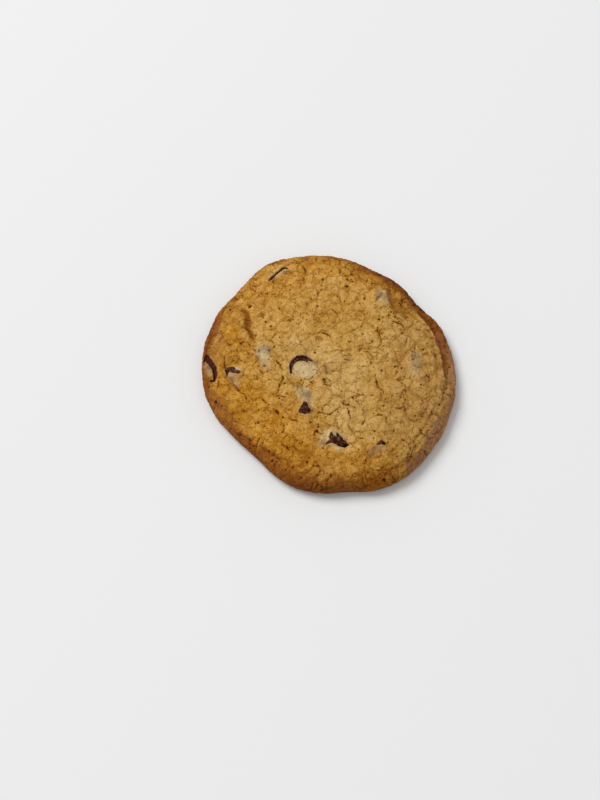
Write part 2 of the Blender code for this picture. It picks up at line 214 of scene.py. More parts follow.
# Single pores that are large enough to be seen one by one, by radius: x and y of each.
PORES = {
    0.3: ((-27.8, -16.9), (-26, -21.4), (-26.9, -1), (-45.8, 10.7), (-43.1, -4.1), (4.6, 33.2), (34.2, 4.6)),
    0.35: ((22.8, -15.5), (-28.5, 5.6), (-26.2, 9.9), (-16.5, 5.6), (2.6, 15.2), (-13.6, 28.6), (-18, 29.4),
        (-35.5, 5.4), (19.9, 27.8), (-4, -26), (12.4, 4.8), (12.6, 7.2), (8.8, 8.8)),
    0.4: ((-31.8, 27.2), (-39, 25), (-7.4, 21.1), (-24.2, 32), (9.8, 38.1), (27, -7.1), (9.7, -15.8),
        (21.8, -15.5), (17.2, -21.4), (-30.2, -31.6), (-33.3, -27.8), (-13.6, -41.8), (38.2, -5), (11.3, -36),
        (13.9, -40), (8.7, -41.2), (13.7, -45.4), (-25.2, 7.6), (-20.8, 6.9), (-23.5, -3.4), (-28.6, 9.4),
        (13.8, 12.2), (24.8, 21.4), (-2.1, -35.4), (13.3, -13.7), (36.9, -9.2), (22, 20.4), (-2.2, 34.6),
        (-13.6, 47.4), (23.4, 3.6)),
    0.45: ((-33.1, 9.3), (7.4, 34.2), (29.6, 13.3), (21, -18.3), (-6.8, -25), (-30, -30.3), (33.3, -21.8),
        (36.2, -21.7), (-47, -17), (39.1, -5.2), (31.4, 28.9), (33.4, 1.7)),
    0.5: ((-25.6, 20.6), (-19.1, 24.6), (-8.2, 21.9), (10.3, 40.8), (18.2, 36.6), (37.6, 6.6), (26, -1.8),
        (-17.3, -22.5), (-46.5, -8), (-22.8, -35.4), (-21.3, -38.8), (-8.3, -40.1), (-10.5, -45.8),
        (48.3, 1.6), (35.8, -8.9), (0.8, -45.6), (-26.9, 5.2), (26.7, 35.4), (25.8, 33.7), (29.5, 27.3)),
    0.55: ((-39, 26), (-24.5, 18.4), (-22.4, 16.3), (-4, 25), (-26.8, -24), (43, -16.1), (-22.7, 5.3),
        (-24.7, -1.3)),
    0.6: ((-33.9, 8.7), (8.2, 34.4), (-1.7, 37.6), (20.4, 19.1), (20.7, -3.5), (28.6, -2.3), (9.3, -14.8),
        (-43.7, -14.5), (46.7, -11.4), (36.9, -34.8)),
    0.65: ((-4.4, -28.5),),
    0.7: ((-5, 4.4), (20.8, -46.3)),
    0.85: ((-31, 26.2),),
}

# Tones laid on one by one: how strong each is, how far it fades, then its band.
# Browner bands: mostly the crust's own baking, with painted shade in two creases and a painted shadow below a
# chip.
BROWNED_AND_SHADED = (
    (0.34, 2.6, ((-45.5, 28, 0.4), (-46, 20, 1), (-47.4, 14, 0.8), (-49, 8, 0.2))),
    (0.16, 3.6, ((-43, 32, 0.5), (-48, 14, 1), (-50.5, 0, 0.3), (-49.5, -14, 0.3))),
    # painted shade in the crease between the finger and the crown
    (0.36, 0.9, ((-34, 25.2, 0.1), (-32.2, 23.6, 0.3), (-31.5, 20, 0.4), (-31.8, 16.4, 0.3),
        (-29.2, 11, 0.1))),
    (0.24, 3.4, ((25, 43, 1), (31, 37, 1.5), (36, 29, 1))),
    (0.16, 5, ((16, 44, 2), (26, 35, 2), (33, 25, 1))),
    (0.05, 8, ((34, 10, 4), (33, -12, 5), (26, -28, 4))),
    # painted shade in the crease at the lower left
    (0.1, 2, ((-14, -36, 0.4), (-11, -38.2, 0.5), (-8.2, -40.4, 0.3))),
    (0.12, 1.6, ((-2.8, -39.5, 0.6), (-3.4, -41, 0.4))),
    # painted shadow below the chip tip
    (0.14, 0.9, ((-11.6, -21.6, 0.2), (-9.4, -22.2, 0.3), (-7.4, -22, 0.2))),
)
GOLDEN = (
    (0.85, 9, ((-40, -10, 5), (-30, -25, 8), (-14, -38, 5))),
    (0.65, 6, ((-30, -12, 4), (-18, -26, 4), (2, -42, 2), (20, -41, 2))),
    (0.85, 2.8, ((-39, 16, 1.8), (-37.6, 11, 1.8), (-34.6, 9, 1))),
    (0.75, 2.2, ((-38.6, 1.6, 1.2), (-36.4, 0.6, 1))),
    (0.6, 5, ((-41, 22, 2), (-34, 0, 3))),
    (0.7, 1.4, ((23.2, -35.6, 0.8), (23, -37.4, 0.6))),
    (0.55, 8, ((-32, 30, 4), (0, 48, 3), (28, 36, 3))),
    (0.3, 8, ((-20, 20, 5), (6, 30, 6))),
)
# Rosy bands: the rim's own colour, and one painted shadow beside a pore.
BLUSHED_AND_SHADED = (
    (0.8, 1.9, ((49, 12, 0.3), (50.6, 4, 1.3), (50.2, -8, 1.7), (48, -18, 1.7))),
    (0.78, 2.4, ((47.4, -18, 1.6), (43.2, -26, 2.2), (38.6, -34, 1.4), (31, -41.6, 0.4))),
    (0.3, 3.5, ((44.6, 14, 0.4), (45.4, 2, 1), (44, -10, 1.2), (39, -22, 1.6))),
    (0.2, 8, ((34, 10, 4), (33, -12, 5), (28, -30, 3))),
    (0.16, 2.5, ((-42.5, 18, 1), (-43, 10, 1))),
    (0.16, 3, ((-46, -12, 1.5), (-42, -20, 2), (-34, -30, 1.5))),
    (0.08, 3, ((-26, -37, 1.5), (-12, -44, 1.5), (6, -47, 1))),
    (0.5, 0.8, ((17.2, -35.2, 0.3), (16.2, -36.8, 0.5), (15, -37.4, 0.5))),
    # painted shadow on the right of a pore
    (0.35, 1, ((-24.2, -0.6, 0.3), (-23.8, -1.8, 0.3))),
    (0.3, 1, ((20, 29.6, 0.3), (19.8, 28.6, 0.2))),
)
PALE = (
    (0.7, 1.4, ((-11.6, -3, 1.6), (-8, -3, 2.6), (-6.4, -3.4, 1.6))),
    (0.8, 1, ((-26.2, 3.8, 0.8), (-25, 2.8, 1), (-24.4, 2, 0.5))),
    (0.6, 1.2, ((-25.4, 5.8, 1.5), (-24.8, 3, 1.4))),
    (0.3, 1.2, ((-24.4, 1, 1), (-24, -1.2, 0.8))),
    (0.55, 1.3, ((-9.4, -12.6, 1.2), (-8.4, -15.2, 0.9), (-7, -17, 0.5))),
    (0.35, 1, ((-11.4, -12, 0.4), (-10.4, -14.8, 0.4))),
    (0.45, 1.4, ((21.6, 31, 0.8), (22.8, 30.4, 1), (22.6, 28, 0.8))),
    (0.65, 0.6, ((22.5, 31.7, 0.3), (23.6, 31.4, 0.3))),
    (0.4, 1.4, ((34.2, 3, 0.7), (33.8, -1.4, 0.9), (33.6, -3.6, 0.8))),
    (0.42, 0.7, ((-48, 1.6, 0.2), (-46.8, -0.8, 0.4), (-46, -3, 0.2))),
    (0.8, 0.5, ((-38.4, -4.1, 0.2), (-37.4, -4.5, 0.3))),
    (0.35, 1.2, ((-37.4, -5, 0.4), (-36, -5.8, 0.8), (-35.4, -7.6, 0.5))),
    (0.7, 0.6, ((-35.8, -2.2, 0.3), (-34.2, -2.4, 0.3))),
    (0.85, 0.5, ((0, -28.6, 0.3), (0, -30.8, 0.4), (-0.2, -32, 0.3))),
    (0.7, 0.5, ((2.1, -30.3, 0.4), (2.2, -29.5, 0.3))),
    (0.45, 1.2, ((-1.4, -29.8, 0.7), (-2.3, -32.6, 0.9))),
    (0.45, 0.8, ((1.2, -28.7, 0.3), (3.4, -29, 0.3), (5.4, -31, 0.2))),
    (0.5, 0.6, ((1, -34.3, 0.2), (3, -35.2, 0.3), (5.2, -35.8, 0.3))),
    (0.16, 1.2, ((18.6, -35.2, 0.6), (20.6, -35, 0.4))),
    (0.32, 0.6, ((-23.2, 40.2, 0.2), (-19.8, 43.6, 0.2), (-18, 45.2, 0.2))),
    (0.34, 0.7, ((-20.2, 40, 0.2), (-17, 42.6, 0.2))),
    (0.1, 3, ((-12, 6, 3), (6, -4, 6), (8, -22, 5))),
)
STAINED = (
    (0.5, 0.7, ((-26.9, 4.8, 0.4), (-26, 6.2, 0.6), (-24.6, 6.7, 0.7), (-23, 5.8, 0.6))),
    (0.2, 0.8, ((-25.4, 5, 0.9), (-23.8, 4.8, 0.7))),
    (0.35, 0.4, ((-27.4, 4.4, 0.1), (-27.4, 2.8, 0.1), (-26.8, 1.4, 0.1))),
    (0.38, 1, ((-12.2, -9.6, 0.3), (-9.8, -12.2, 0.9), (-7.8, -14, 0.9), (-7.4, -16.6, 0.3))),
    (0.7, 0.5, ((-9.4, -13.2, 0.3), (-8.6, -13.5, 0.4))),
    (0.65, 0.4, ((-7.6, -13.9, 0.25), (-7.2, -14.6, 0.2))),
    (0.55, 0.4, ((-7.4, -16.4, 0.2), (-7.2, -16.9, 0.2))),
    (0.45, 0.6, ((-5.8, 0.5, 0.3), (-4.2, -0.1, 0.5))),
    (0.3, 1, ((-1.2, -1.6, 0.3), (0.2, -4, 0.5))),
    (0.45, 0.5, ((-36.8, -3.1, 0.2), (-34.8, -3.9, 0.3))),
    (0.35, 0.6, ((2.1, -30.5, 0.5), (2.3, -29.6, 0.3))),
    (0.45, 0.5, ((18.3, -34.2, 0.3), (17.2, -35.2, 0.4), (16.4, -37.2, 0.3))),
    (0.2, 0.9, ((18.8, -35, 0.5), (20, -35.4, 0.4))),
    (0.75, 0.5, ((21.7, 31.2, 0.2), (21.2, 29.8, 0.4), (20.3, 28.7, 0.2))),
    (0.25, 1.1, ((20.4, 30.4, 0.5), (22.8, 29.2, 0.8))),
    (0.6, 0.5, ((33.7, 2.1, 0.35), (33.2, 1.2, 0.25))),
    (0.3, 1, ((34.4, 4.4, 0.4), (34.4, 0.6, 0.6), (34.9, -2.8, 0.5))),
    (0.16, 0.4, ((-23.4, 39.4, 0.1), (-20.2, 43, 0.1), (-17.6, 45, 0.2), (-16.2, 44.8, 0.2))),
    (0.25, 0.9, ((-47.2, 0.6, 0.3), (-46.4, -1.8, 0.4))),
)

LEDGE_TONE, FOOT_TONE, UNDER_TONE, UNDER_GOLD = 0.46, 0.22, 0.44, 0.5  # how brown and golden those are
PIT_DEPTH = 0.25  # of the underside's shallow pits

# Layers of noise: the strength of each, its size in millimetres, and its seed.
LUMPS = ((0.90, 5.2, 105), (0.36, 2.5, 109), (0.15, 1.2, 113))
MEAN_LUMP = 0.66  # what the lumps come to on average, taken off to leave the dough's height alone
PATCHES = ((1.0, 6.0, 145), (0.6, 2.6, 149))  # of lighter and darker crust
BLOTCHES = ((0.5, 3.4, 175), (0.35, 1.1, 171))  # of the rosy rim
PITS = ((1.6, 4.2, 191), (0.8, 1.9, 195))  # of the underside
MOUTH_WOBBLE = ((0.16, 1.3, 91), (0.07, 0.5, 95))

# How brown the side and the shoulder are, by azimuth: degrees, half width, and a share of the full rim tone.
RIM_TONE = 0.34
RIM_TONES = ((-95, 30, 0.45), (-20, 40, -0.90), (40, 22, 0.25), (110, 35, -0.35), (165, 35, -0.40))

# Wrinkles that run along the right-hand rim, by azimuth: degrees, half width, strength. Then smoother places.
WRINKLES = ((-24, 34, 0.75), (20, 20, 0.5))
CALM = ((0.45, 3, ((-39.5, 20, 1.5), (-36.5, 8, 1.5))), (0.35, 3, ((-26, -4, 2), (-22, -10, 2))))


def linear(colour):
    """Linear red, green, blue and alpha of an sRGB hex colour."""
    shares = [int(colour[place : place + 2], 16) / 255 for place in (1, 3, 5)]
    curved = [share / 12.92 if share <= 0.04045 else ((share + 0.055) / 1.055) ** 2.4 for share in shares]
    return curved + [1.0]


# --- Noise ---


def lattice_numbers(cells, seed):
    """Three numbers from 0 to 1 for each cell of a cubic lattice, from its whole-numbered place and a seed.

    The place's three indices are multiplied by large odd numbers and joined by exclusive or. Shifts and
    further multiplications then mix the bits, and three stretches of ten bits are read off.
    """
    x, y, z = np.moveaxis(cells, -1, 0).astype(np.int64).astype(np.uint32)
    mixed = x * np.uint32(0x8DA6B343) ^ y * np.uint32(0xD8163841) ^ z * np.uint32(0xCB1AB31F)
    mixed = mixed ^ np.uint32(seed * 7919 + 12345)
    for factor, shift in ((0x2C1B3C6D, 15), (0x297A2D39, 12), (0x85EBCA6B, 15)):
        mixed = (mixed ^ (mixed >> np.uint32(shift))) * np.uint32(factor)
    mixed = mixed ^ (mixed >> np.uint32(13))
    return np.stack([(mixed >> np.uint32(shift) & np.uint32(1023)) / 1023.0 for shift in (0, 10, 20)], -1)


def noise(points, size, seed):
    """Smooth noise, about -1 to 1, with one rise or fall for each `size` of length.

    Every corner of a cubic lattice has a slope of its own. Each corner's slope gives a height at the point,
    and the eight heights are blended across the cell by 6t^5 - 15t^4 + 10t^3 along each axis.
    """
    scaled = points / size
    cell = np.floor(scaled)
    inside = scaled - cell
    blend = inside**3 * (inside * (inside * 6 - 15) + 10)
    total = np.zeros(len(points))
    for corner in np.ndindex(2, 2, 2):
        slope = lattice_numbers(cell + corner, seed) * 2 - 1
        share = np.prod(np.where(corner, blend, 1 - blend), axis=1)
        total += share * np.sum(slope * (inside - corner), axis=1)
    return total * 1.6


def layered(points, layers, kind=noise):
    """The sum of layers of noise, each times its strength."""
    return sum(strength * kind(points, size, seed) for strength, size, seed in layers)


def warped(points, size, reach, seed):
    """The points, each moved up to about `reach` along every axis by noise of that size."""
    return points + reach * np.stack([noise(points, size, seed + axis) for axis in range(3)], -1)


def plates(points, size, seed):
    """Cells round scattered seeds: distances to the nearest seed and the next, and the nearest's own number.

    The own number is the part past the point of a sum of two of the seed's three numbers, each multiplied.
    """
    scaled = points / size
    cell = np.floor(scaled)
    nearest = np.full(len(points), np.inf)
    second = np.full(len(points), np.inf)
    own = np.zeros(len(points))
    for step in np.ndindex(3, 3, 3):
        around = cell + step - 1
        numbers = lattice_numbers(around, seed)
        distance = np.linalg.norm(scaled - around - numbers, axis=1)
        closer = distance < nearest
        second = np.where(closer, nearest, np.minimum(second, distance))
        own = np.where(closer, (numbers[:, 0] * 7.13 + numbers[:, 1] * 3.71) % 1.0, own)
        nearest = np.minimum(nearest, distance)
    return nearest * size, second * size, own


# --- The blank ---


def smooth_step(share):
    """3t^2 - 2t^3 between 0 and 1."""
    share = np.clip(share, 0.0, 1.0)
    return share * share * (3.0 - 2.0 * share)


def bell(distance, half_width):
    """e^-(distance / half width)^2."""
    return np.exp(-((distance / half_width) ** 2))


def bell_sum(azimuth, bells):
    """The sum of bells round the circle: each has a height times the bell of the angle from its centre."""
    total = np.zeros_like(azimuth)
    for centre, half_width, height in bells:
        away = (np.degrees(azimuth) - centre + 180.0) % 360.0 - 180.0
        total += height * bell(away, half_width)
    return total


def outline_radius(azimuth):
    """A circle plus a bell for each lobe."""
    return COOKIE_RADIUS + bell_sum(azimuth, OUTLINE_LOBES)


def outline_middle():
    """The middle of the box round the outline."""
    azimuth = np.linspace(-math.pi, math.pi, OUTLINE_STEPS)
    radius = outline_radius(azimuth)
    x, y = radius * np.cos(azimuth), radius * np.sin(azimuth)
    return np.array([(x.min() + x.max()) / 2, (y.min() + y.max()) / 2, 0.0])


def inside_band(x, y, points):
    """How far each (x, y) is inside a band: its half width there, less the distance from its middle line."""
    inside = np.full_like(x, -np.inf)
    for (ax, ay, a_half), (bx, by, b_half) in zip(points, points[1:] or points):
        run_x, run_y = bx - ax, by - ay
        along = ((x - ax) * run_x + (y - ay) * run_y) / max(run_x**2 + run_y**2, 1e-9)
        along = np.clip(along, 0.0, 1.0)
        distance = np.hypot(x - ax - along * run_x, y - ay - along * run_y)
        inside = np.maximum(inside, a_half + (b_half - a_half) * along - distance)
    return inside


def relief(x, y):
    """How far the crust stands above the plain crown: a bell for each swell, bump and ridge."""
    height = np.zeros_like(x)
    for bump_x, bump_y, radius, lift in SWELLS:
        height += lift * np.exp(-((x - bump_x) ** 2 + (y - bump_y) ** 2) / radius**2)
    for half_width, lift, path in RIDGES:
        distance = -inside_band(x, y, [(px, py, 0.0) for px, py in path])
        height += lift * bell(distance, half_width)
    return height


def crown(share):
    """The plain crown at a share of the outline's radius: rim + (crown - rim) * (1 - share^power)^(1/2)."""
    return RIM_HEIGHT + (CROWN_HEIGHT - RIM_HEIGHT) * np.sqrt(np.clip(1.0 - share**CROWN_POWER, 0.0, 1.0))


def ledge_weight(azimuth):
    """How much of the ledge there is at these azimuths, from none to all of it."""
    degrees = np.degrees(azimuth)
    coming_in = smooth_step((degrees - LEDGE_START) / LEDGE_FADE)
    return coming_in * smooth_step((LEDGE_END - degrees) / LEDGE_FADE)


def shaped_top(x, y, plain_height):
    """The crust at (x, y): the crown, plus relief that fades at the rim, less the drop to the ledge."""
    azimuth = np.arctan2(y, x)
    share_up = (plain_height - RIM_HEIGHT) / (CROWN_HEIGHT - RIM_HEIGHT)
    height = plain_height + relief(x, y) * smooth_step(share_up * RELIEF_RISE)
    past_edge = np.hypot(x, y) - (outline_radius(azimuth) - LEDGE_INSET)
    drop = np.maximum(height - LEDGE_HEIGHT, 0.0) * smooth_step(past_edge / LEDGE_STEP_WIDTH)
    return height - drop * ledge_weight(azimuth)


def disc_grid(columns):
    """A square grid laid on the unit disc, ring by ring: each point's share of the radius, and its azimuth.

    A point of the square keeps its larger coordinate as its share of the radius. The ratio of the smaller one
    to it, times 45 degrees, is its turn from the axis that it lies nearest.
    """
    line = np.linspace(-1, 1, columns + 1)
    across, up = np.meshgrid(line, line, indexing="ij")
    sideways = np.abs(across) >= np.abs(up)
    longer = np.where(sideways, across, up)
    shorter = np.where(sideways, up, across)
    turn = math.pi / 4 * shorter / np.where(longer == 0, 1.0, longer)
    azimuth = np.where(sideways, turn, math.pi / 2 - turn) + np.where(longer < 0, math.pi, 0.0)
    return np.abs(longer), azimuth


def along_profile(share, radius, height):
    """Radius and height at a share of the length of a profile."""
    lengths = np.hypot(np.diff(radius), np.diff(height))
    along = np.concatenate([[0.0], np.cumsum(lengths)])
    return np.interp(share * along[-1], along, radius), np.interp(share * along[-1], along, height)


def upper_sheet(share, azimuth):
    """The crust, from the middle of the top to the widest line: the crown turned about Z and shaped."""
    turn = np.linspace(0.0, math.pi / 2, TOP_STEPS)
    radius_share = np.sin(turn) ** (2.0 / CROWN_POWER)
    radius, height = along_profile(share, radius_share * COOKIE_RADIUS, crown(radius_share))
    radius = radius / COOKIE_RADIUS * outline_radius(azimuth)
    x, y = radius * np.cos(azimuth), radius * np.sin(azimuth)
    return np.stack([x, y, shaped_top(x, y, height)], -1)


def lower_sheet(share, azimuth):
    """The flat underside and the foot, a quarter of an ellipse, from the middle to the widest line."""
    turn = np.linspace(math.pi / 2, 0.0, FOOT_STEPS)
    radius = np.concatenate([[0.0], COOKIE_RADIUS - FOOT_INSET * (1.0 - np.cos(turn))])
    height = np.concatenate([[0.0], RIM_HEIGHT * (1.0 - np.sin(turn))])
    radius, height = along_profile(share, radius, height)
    radius = radius / COOKIE_RADIUS * outline_radius(azimuth)
    return np.stack([radius * np.cos(azimuth), radius * np.sin(azimuth), height], -1)


def grid_faces(index):
    """Four-cornered faces between the points of an index grid."""
    return np.stack([index[:-1, :-1], index[1:, :-1], index[1:, 1:], index[:-1, 1:]], -1).reshape(-1, 4)


def blank(columns):
    """The plain dough: its points, its faces, and 1 for each point of the crust and 0 for the rest."""
    share, azimuth = disc_grid(columns)
    top = upper_sheet(share.ravel(), azimuth.ravel())
    under = lower_sheet(share[1:-1, 1:-1].ravel(), azimuth[1:-1, 1:-1].ravel())
    top_index = np.arange(share.size).reshape(share.shape)
    under_index = top_index.copy()
    under_index[1:-1, 1:-1] = share.size + np.arange(len(under)).reshape(columns - 1, columns - 1)
    faces = np.concatenate([grid_faces(top_index), grid_faces(under_index)[:, ::-1]])
    crust = np.concatenate([np.ones(len(top)), np.zeros(len(under))])
    return np.concatenate([top, under]), faces, crust


def directions(points, faces):
    """The outward unit direction at each point: the sum of its faces' crossed diagonals, made one long."""
    corners = points[faces]
    across = np.cross(corners[:, 2] - corners[:, 0], corners[:, 3] - corners[:, 1])
    summed = np.stack(
        [np.bincount(faces.ravel(), np.repeat(across[:, axis], 4), len(points)) for axis in range(3)], -1
    )
    return summed / np.maximum(np.linalg.norm(summed, axis=1, keepdims=True), 1e-12)


# --- The chips' places ---


ONE_WAY = 0.9995  # the cosine above which two triangles face one way


def chip_place(node):
    """A chip's base middle, the way to its tip, its height and its radius, in millimetres, from its solid.

    Its base is its largest flat side: the group of triangles that face one way and have the most area.
    """
    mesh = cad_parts[node].data
    mesh.calc_loop_triangles()
    points = np.empty(len(mesh.vertices) * 3)
    mesh.vertices.foreach_get("co", points)
    points = points.reshape(-1, 3) / MM + outline_middle()
    corners = np.empty(len(mesh.loop_triangles) * 3, np.int32)
    mesh.loop_triangles.foreach_get("vertices", corners)
    corners = points[corners.reshape(-1, 3)]
    crossed = np.cross(corners[:, 1] - corners[:, 0], corners[:, 2] - corners[:, 0])
    area = np.linalg.norm(crossed, axis=1)
    facing = crossed / np.maximum(area, 1e-12)[:, None]
    alike = facing @ facing.T > ONE_WAY
    base = alike[np.argmax(alike @ area)]
    middle = np.average(corners[base].mean(axis=1), axis=0, weights=area[base])
    to_tip = -np.average(facing[base], axis=0, weights=area[base])
    to_tip /= np.linalg.norm(to_tip)
    along = (points - middle) @ to_tip
    radius = np.linalg.norm(points - middle - along[:, None] * to_tip, axis=1).max()
    return middle, to_tip, along.max(), radius


# A drop's profile from its base to its tip: shares of the height and the radius.
DROP_PROFILE = (
    (0.0, 0.9), (0.04, 0.975), (0.1, 1.0), (0.24, 0.95), (0.46, 0.76), (0.66, 0.52), (0.84, 0.3),
    (0.95, 0.17), (1.0, 0.0),
)
LEVEL_STEP = 0.08  # between the heights at which a chip's upper side is looked for
NOWHERE = -1000.0


def chip_top(x, y, place, low, high):
    """The height of a chip's upper side over each (x, y), or a metre below beside it.

    Levels are tried from low to high, and the last that lies inside the drop is kept.
    """
    middle, to_tip, tall, radius = place
    up_share, out_share = np.array(DROP_PROFILE).T
    top = np.full_like(x, NOWHERE)
    for level in np.arange(low, high, LEVEL_STEP):
        from_middle = np.stack([x, y, np.full_like(x, level)], -1) - middle
        along = from_middle @ to_tip
        out = np.linalg.norm(from_middle - along[:, None] * to_tip, axis=1)
        reach = np.interp(along / tall, up_share, out_share, left=-1.0, right=-1.0) * radius
        top = np.where(out < reach, level, top)
    return top


# --- The crust's surface ---


def beside(inside, fade):
    """Full inside a band, then the bell of the distance from it."""
    return bell(np.maximum(-inside, 0.0), fade)


def tone(x, y, bands):
    """How strongly these bands colour each (x, y): the strongest of them there, as each fades beside it."""
    total = np.zeros_like(x)
    for strength, fade, band in bands:
        total = np.maximum(total, strength * beside(inside_band(x, y, band), fade))
    return total


def lumps(points, size, seed):
    """Rounded lumps about that far apart, with sharp creases between them: |noise|^0.6."""
    return np.abs(noise(points, size, seed)) ** 0.6


def hollows(points, crust, settings):
    """What cracks and pores do to each point: how dark their painted shade makes it, how far lowered, and how
    much of a ditch.

    A ditch runs where the two nearest seeds of a plate pattern are equally far, and a crack is its sharp
    middle, broken up by noise. A pore is a round pit at a seed, and only the seeds with a high number have a
    large one. All are drawn on points moved by noise, so that none runs straight or round. Those placed one
    by one are bands and discs.
    """
    plate = settings.plate_size / MM
    jagged = warped(warped(points, 3.6, 1.3, 11), 1.1, 0.32, 15)
    ditch = np.zeros(len(points))
    crack = np.zeros(len(points))
    busy = smooth_step(0.55 + 0.8 * noise(points, 13.0, 21))
    # The plates, then finer ones within them: how strong their edges are, and how much of a crack stays open.
    for size, share, faint, seed in ((plate, 1.0, 0.16, 31), (plate * 0.47, 0.2 + 0.5 * busy, 0.04, 51)):
        near, second, _ = plates(jagged, size, seed)
        across = (second - near) / size
        ditch = np.maximum(ditch, share * bell(across, 0.20))
        broken = smooth_step(noise(points, size * 1.3, seed + 5) * 1.6 + 0.1)
        broken = broken * smooth_step(noise(points, 0.8, seed + 9) * 2.0 + 0.35)
        line = bell(across * size, CRACK_WIDTH) * (faint + (1.0 - faint) * broken)
        crack = np.maximum(crack, share * line)

    wobbled = warped(points, 1.1, 0.22, 61)
    near_pore, _, pore = plates(wobbled, settings.pore_spacing / MM, 71)
    pore_radius = 0.08 + 0.42 * pore**2
    pores = smooth_step(1.3 * (1.0 - near_pore / pore_radius)) * (0.45 + 0.55 * pore)

    crooked = warped(warped(points, 1.9, 0.35, 81), 0.8, 0.22, 85)
    x, y = crooked[:, 0], crooked[:, 1]
    placed = np.zeros_like(x)
    for band in CRACKS:
        inside = inside_band(x, y, band)
        placed = np.maximum(placed, smooth_step(inside / HOLLOW_WALL + 0.4))
        ditch = np.maximum(ditch, beside(inside, DITCH_FADE) * crust)
    placed = placed * (0.42 + 0.53 * smooth_step(noise(points, 0.9, 89) * 1.8 + 0.45))
    x, y = wobbled[:, 0], wobbled[:, 1]
    for radius, middles in PORES.items():
        for middle in middles:
            inside = inside_band(x, y, ((*middle, radius),))
            placed = np.maximum(placed, 0.9 * smooth_step(inside / HOLLOW_WALL + 0.2))
    placed = placed * crust * smooth_step((points[:, 2] - RIM_HEIGHT) / 2.0)

    lowered = settings.crack_depth / MM * (0.8 * crack + 1.0 * pores + 1.1 * placed) + 0.22 * ditch
    # How dark each point is: painted shade in the cracks and pores.
    dark = np.maximum.reduce([0.75 * crack, pores, placed])
    return dark, lowered, ditch


def grooves(points, crust):
    """How far each point is sunk by the soft grooves, and how much painted shade darkens it there."""
    sunk = np.zeros(len(points))
    painted_groove_shade = np.zeros(len(points))
    for depth, groove_shade, band in GROOVES:
        share = beside(inside_band(points[:, 0], points[:, 1], band), DITCH_FADE) * crust
        sunk = np.maximum(sunk, depth * share)
        # The groove's painted shade.
        painted_groove_shade = np.maximum(painted_groove_shade, groove_shade * share)
    return sunk, painted_groove_shade


def open_mouths(points, crust):
    """Lets a mouth into the crust over each chip: new heights, and how far points are in a mouth or on a lip.

    Outside its mouth a chip is covered: the dough is the smooth maximum of the crust and a skin over the
    chip. Inside, the dough lies just under the chip. The two are blended across the wall of the mouth.
    """
    height = points[:, 2].copy()
    lips = np.zeros(len(points))
    mouths = np.zeros(len(points))
    wobble = layered(points, MOUTH_WOBBLE)
    for node, (lip_strength, bands) in MOUTHS.items():
        place = chip_place(node)
        middle = place[0] + place[1] * place[2] / 2
        near = (crust > 0) & (np.hypot(points[:, 0] - middle[0], points[:, 1] - middle[1]) < CHIP_REACH)
        x, y, crust_height = points[near].T
        top = chip_top(x, y, place, 1.0, CROWN_HEIGHT + 4.0)
        inside = np.maximum.reduce([inside_band(x, y, band) for band in bands]) + wobble[near]
        opened = smooth_step(inside / MOUTH_WALL + 0.5)
        skin = top + SKIN
        over = np.clip(0.5 + (skin - crust_height) / 1.6, 0.0, 1.0)
        covered = crust_height * (1 - over) + skin * over + 0.8 * over * (1 - over)
        lip = beside(inside, LIP_WIDTH)
        covered = covered + LIP_RISE * lip
        floor = np.minimum(np.maximum(top, crust_height - MOUTH_DEPTH) - MOUTH_GAP, crust_height - 0.25)
        height[near] = np.where(opened > 0, covered * (1 - opened) + floor * opened, covered)
        # How far inside a mouth: there the walls and floor take chocolate smear and painted shade.
        mouths[near] = np.maximum(mouths[near], smooth_step(inside / 0.3 + 0.6))
        lips[near] = np.maximum(lips[near], lip * lip_strength)
    return height, mouths, lips


